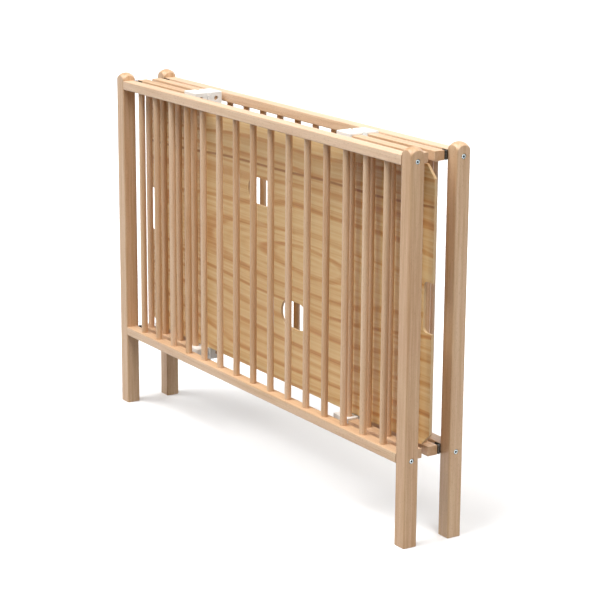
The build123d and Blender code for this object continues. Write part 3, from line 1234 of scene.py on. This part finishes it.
@dataclass(frozen=True)
class HalfPanel:
    """Half of a short end: two rails in white caps, four bars, and hinge leaves.

    Attributes:
        end: The crib's end that it is on.
        half: Whether it is the front or the rear half.
        bar_count: How many bars it has.
    """

    end: End
    half: Half
    bar_count: int = 4

    @property
    def name(self) -> str:
        """The half panel's name in the CAD."""
        return f"{self.end.name.lower()}_end_{self.half.name.lower()}"

    def build(self, shop: Workshop) -> None:
        """Makes the half panel's pieces and dresses its fittings.

        Args:
            shop: Where pieces are made.
        """
        seed = 20 + 2 * self.end.value + self.half.value
        tones = np.random.default_rng(seed).uniform(-0.5, 0.5, 2)
        for level, tone in zip(("bottom", "top"), tones):
            node = f"{self.name}_{level}_rail"
            rail = NodeBox.of(node)
            shop.piece(f"{node}_planed", HalfRail().shell(rail).toned(tone), "beech_along", node)
            node = f"{self.name}_{level}_cap"
            shell = Cap().shell(NodeBox.of(node), self.end, self.half, rail)
            shop.piece(f"{node}_moulded", shell, "plastic", node)
        node = f"{self.name}_bars"
        bars = Bars(self.bar_count, seed).shell(NodeBox.of(node))
        shop.piece(f"{node}_turned", bars, "beech_up", node)
        # The hinge fittings are painted dark: painted shade for the deep shade between the rails and posts.
        for fitting in ("hinge_leaves", "hinge_screws"):
            shop.dress(f"{self.name}_{fitting}", "zinc_painted_dark_as_shade")


@dataclass(frozen=True)
class BaseBoard:
    """The loose base board: cut corners, a grip notch in each short edge and two hand-holes.

    Attributes:
        corner_cut: Size of the cut corners.
        hand_hole: Length and height of the hand-holes.
        hand_hole_place: Distance of their middles from the board's middle, along X and Z.
        notch: Height, depth and corner radius of the grip notches.
        arris: Radius of the rounded arrises.
    """

    corner_cut: float = 28.0
    hand_hole: tuple[float, float] = (110.0, 65.0)
    hand_hole_place: tuple[float, float] = (74.0, 135.0)
    notch: tuple[float, float, float] = (112.0, 30.0, 12.0)
    arris: float = 0.9

    def outline(self, length: float, height: float) -> Array:
        """Works out the outer outline, anticlockwise, about the board's middle.

        The right half runs from the lower cut corner, through the notch with its two quarter
        circles, to the upper cut corner. The left half is the same half turned by half a turn.

        Args:
            length: The board's length.
            height: The board's height.

        Returns:
            Points, one row each.
        """
        x, z, cut = length / 2, height / 2, self.corner_cut
        tall, deep, radius = self.notch
        angles = np.linspace(0, math.pi / 2, 7)
        quarter = radius * np.column_stack([np.cos(angles), np.sin(angles)])
        upper = [x - deep + radius, tall / 2 - radius] + quarter[::-1] * [-1, 1]
        upper = upper[::-1]
        lower = (upper * [1, -1])[::-1]
        right = np.concatenate([[[x - cut, -z], [x, cut - z], [x, -tall / 2]], lower,
                                upper, [[x, tall / 2], [x, z - cut], [x - cut, z]]])
        return np.concatenate([right, -right])

    def slot(self, centre: tuple[float, float]) -> Array:
        """Works out the outline of a hand-hole: two half circles joined by straights.

        Args:
            centre: The hole's middle, from the board's middle.

        Returns:
            Points, one row each, anticlockwise.
        """
        long, tall = self.hand_hole
        half_turn = np.linspace(-math.pi / 2, math.pi / 2, 25)
        arc = tall / 2 * np.column_stack([np.cos(half_turn), np.sin(half_turn)])
        right = arc + [long / 2 - tall / 2, 0]
        return np.concatenate([right, -right]) + centre

    def shell(self, box: NodeBox) -> Shell:
        """Works out the board.

        Each outline is carried through the board's thickness, drawn into the wood by a quarter
        circle at both faces. The flats are triangles between the outlines' outermost rings.

        Args:
            box: The board's box.

        Returns:
            The closed shell.
        """
        length, thickness, height = box.size
        px, pz = self.hand_hole_place
        loops = [self.outline(length, height), self.slot((-px, pz))[::-1], self.slot((px, -pz))[::-1]]
        angles = np.linspace(0, math.pi / 2, 5)
        inset = self.arris * (1 - np.sin(angles))
        place = self.arris * (1 - np.cos(angles)) - thickness / 2
        insets = np.concatenate([inset, inset[::-1]])
        places = np.concatenate([place, -place[::-1]])
        shells, faces_in_plane = [], []
        for loop in loops:
            ahead = np.roll(loop, -1, axis=0) - loop
            ahead = ahead / np.linalg.norm(ahead, axis=1)[:, None]
            normal = np.column_stack([ahead[:, 1], -ahead[:, 0]])
            before = np.roll(normal, 1, axis=0)
            mitre = (normal + before) / (1 + (normal * before).sum(axis=1))[:, None]
            rings = loop - mitre * insets[:, None, None]
            depth = np.broadcast_to(places[:, None], rings.shape[:2])
            shells.append(surface(np.stack([rings[..., 0], depth, rings[..., 1]], axis=-1)))
            faces_in_plane.append(rings[0])
        points = np.concatenate(faces_in_plane)
        starts = np.cumsum([0] + [len(loop) for loop in faces_in_plane])
        edges = [(a, b) for low, high in zip(starts[:-1], starts[1:])
                 for a, b in zip(range(low, high), [*range(low + 1, high), low])]
        flat_points, _, triangles, _, _, _ = delaunay_2d_cdt(
            [Vector(point) for point in points.tolist()], edges, [], 1, 1e-4)
        flat = np.array([tuple(point) for point in flat_points])
        faces = np.array(triangles)
        middles = flat[faces].mean(axis=1)
        long, tall = self.hand_hole
        in_hole = np.zeros(len(faces), dtype=bool)
        for centre in ((-px, pz), (px, -pz)):
            away = np.abs(middles - centre)
            past = np.maximum(away[:, 0] - (long - tall) / 2, 0)
            in_hole |= np.hypot(past, away[:, 1]) < tall / 2
        faces = faces[~in_hole]
        for y in (-thickness / 2, thickness / 2):
            layer = np.column_stack([flat[:, 0], np.full(len(flat), y), flat[:, 1]])
            shells.append(Shell(layer, [faces], np.zeros(len(flat)), np.zeros(len(flat))))
        return joined(shells).placed((1, 1, 1), box.centre)

    def build(self, shop: Workshop) -> None:
        """Makes the board."""
        shop.piece("base_board_foiled", self.shell(NodeBox.of("base_board")), "foil", "base_board")


@dataclass(frozen=True)
class Studio:
    """Pale floor, soft lights and the camera.

    Attributes:
        camera_place: The camera's place, in millimetres.
        heading: Its turn about Z, in degrees, from looking along +Y.
        dip: How far it looks down, in degrees.
        roll: Its turn about its own line of sight, in degrees.
        focal: Its focal length, in pixels of the photograph.
        frame_side: The photograph's side, in pixels.
        room_light: Strength of the white surroundings as a light.
        box_power: Power of the soft box, in watts.
        box_side: Its side, in metres.
        box_place: Its place, in metres.
        box_aim: The place that it looks at, in metres.
        floor_reach: Half the floor's side, in metres.
        distant_lights: Name, direction, width in degrees and strength of each distant light.
    """

    camera_place: tuple[float, float, float] = (3910.35, -2491.91, 1610.68)
    heading: float = 56.763
    dip: float = 14.582
    roll: float = 0.367
    focal: float = 2012.5
    frame_side: float = 600.0
    room_light: float = 0.26
    box_power: float = 9.0
    box_side: float = 1.3
    box_place: tuple[float, float, float] = (0.3, -0.5, 2.3)
    box_aim: tuple[float, float, float] = (0.0, 0.0, 0.5)
    floor_reach: float = 12.0
    distant_lights: tuple[tuple[str, tuple[float, float, float], float, float], ...] = (
        ("key", (-0.3, -0.9, 1.6), 45.0, 2.75),
        ("side", (1.0, -0.1, 1.2), 40.0, 1.8),
        ("back", (-0.5, 1.0, 0.8), 60.0, 1.0),
    )

    def camera(self) -> None:
        """Places the camera: along its line of sight, level, and then turned by the roll."""
        heading, dip, roll = (math.radians(angle) for angle in (self.heading, self.dip, self.roll))
        ahead = Vector((-math.sin(heading), math.cos(heading), 0))
        sight = math.cos(dip) * ahead - Vector((0, 0, math.sin(dip)))
        level = sight.cross(Vector((0, 0, 1))).normalized()
        above = level.cross(sight)
        right = math.cos(roll) * level + math.sin(roll) * above
        up = -math.sin(roll) * level + math.cos(roll) * above
        data = bpy.data.cameras.new("photo_camera")
        data.sensor_width = 36.0
        data.lens = self.focal / self.frame_side * data.sensor_width
        data.clip_end = 60.0
        camera = in_scene("photo_camera", data)
        turned = Matrix((right, up, -sight)).transposed().to_4x4()
        camera.matrix_world = Matrix.Translation(Vector(self.camera_place) * METRES) @ turned
        bpy.context.scene.camera = camera

    def distant_light(self, name: str, towards: tuple[float, float, float], spread: float,
                      strength: float) -> None:
        """Adds a distant light with a wide disc, so that the floor is lit evenly.

        Args:
            name: Its name.
            towards: The direction in which it lies.
            spread: Width of its disc, in degrees.
            strength: Its strength, in watts on each square metre.
        """
        data = bpy.data.lights.new(name, "SUN")
        data.angle = math.radians(spread)
        data.energy = strength
        light = in_scene(name, data)
        light.rotation_euler = Vector(towards).to_track_quat("Z", "Y").to_euler()

    def near_light(self) -> None:
        """Hangs a soft box over the crib, so that its tops are brighter than its feet."""
        data = bpy.data.lights.new("soft_box", "AREA")
        data.shape = "SQUARE"
        data.size = self.box_side
        data.energy = self.box_power
        light = in_scene("soft_box", data)
        light.location = self.box_place
        towards = Vector(self.box_place) - Vector(self.box_aim)
        light.rotation_euler = towards.to_track_quat("Z", "Y").to_euler()

    def floor(self) -> None:
        """Lays the floor: a plain white square, well beyond the view. It throws no light up at the feet."""
        mesh = bpy.data.meshes.new("studio_floor")
        reach = self.floor_reach
        corners = [(-reach, -reach, 0), (reach, -reach, 0), (reach, reach, 0), (-reach, reach, 0)]
        mesh.from_pydata(corners, [], [(0, 1, 2, 3)])
        material, shader = new_material("white_studio_floor", {"Roughness": 0.8})
        place = add(material, "TexCoord")
        paper = add(material, "TexNoise", {"Vector": place.outputs["Object"], "Scale": 3.0})
        tone = add(material, "MapRange", {"Value": paper.outputs["Fac"], "To Min": 0.96, "To Max": 0.98})
        colour = add(material, "CombineColor", {"Red": tone.outputs[0], "Green": tone.outputs[0],
                                                "Blue": tone.outputs[0]})
        feed(material, shader, {"Base Color": colour.outputs[0]})
        mesh.materials.append(material)
        floor = in_scene("studio_floor", mesh)
        floor.visible_diffuse = False

    def build(self) -> None:
        """Sets up floor, lights, surroundings and camera."""
        scene = bpy.context.scene
        scene.view_settings.view_transform = "Standard"
        world = bpy.data.worlds.new("white_room")
        world.use_nodes = True
        seen = add(world, "LightPath")
        strength = add(world, "MapRange", {"Value": seen.outputs["Is Camera Ray"],
                                           "To Min": self.room_light})
        background = world.node_tree.nodes["Background"]
        background.inputs["Color"].default_value = (1.0, 1.0, 1.0, 1.0)
        feed(world, background, {"Strength": strength.outputs["Result"]})
        scene.world = world
        self.floor()
        for light in self.distant_lights:
            self.distant_light(*light)
        self.near_light()
        self.camera()


def main() -> None:
    """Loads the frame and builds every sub-assembly."""
    logging.basicConfig(level=logging.INFO, format="%(name)s: %(message)s")
    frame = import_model()
    materials = {
        "beech_along": BeechFinish(Grain.ALONG_X).material(),
        "beech_up": BeechFinish(Grain.ALONG_Z).material(),
        "foil": FoilFinish().material(),
        "plastic": MouldedFinish().material(),
        "zinc": ZincFinish().material("zinc_plated_steel"),
        # The hinge fittings' plating is painted dark, as painted shade for the deep shade they sit in.
        "zinc_painted_dark_as_shade": ZincFinish(bright="#625d56", cloudy="#3b3733").material("zinc_dark_passivated"),
        "bolt": ZincFinish(bright="#dbe6e8", cloudy="#b4c1c4", face_place=636.9).material("zinc_plated_bolt"),
    }
    shop = Workshop(frame, materials)
    for half in Half:
        LongSide(half).build(shop)
    for end in End:
        for half in Half:
            HalfPanel(end, half).build(shop)
        shop.dress(f"{end.name.lower()}_end_middle_pins", "zinc")
    BaseBoard().build(shop)
    Studio().build()


if __name__ == "__main__":
    main()
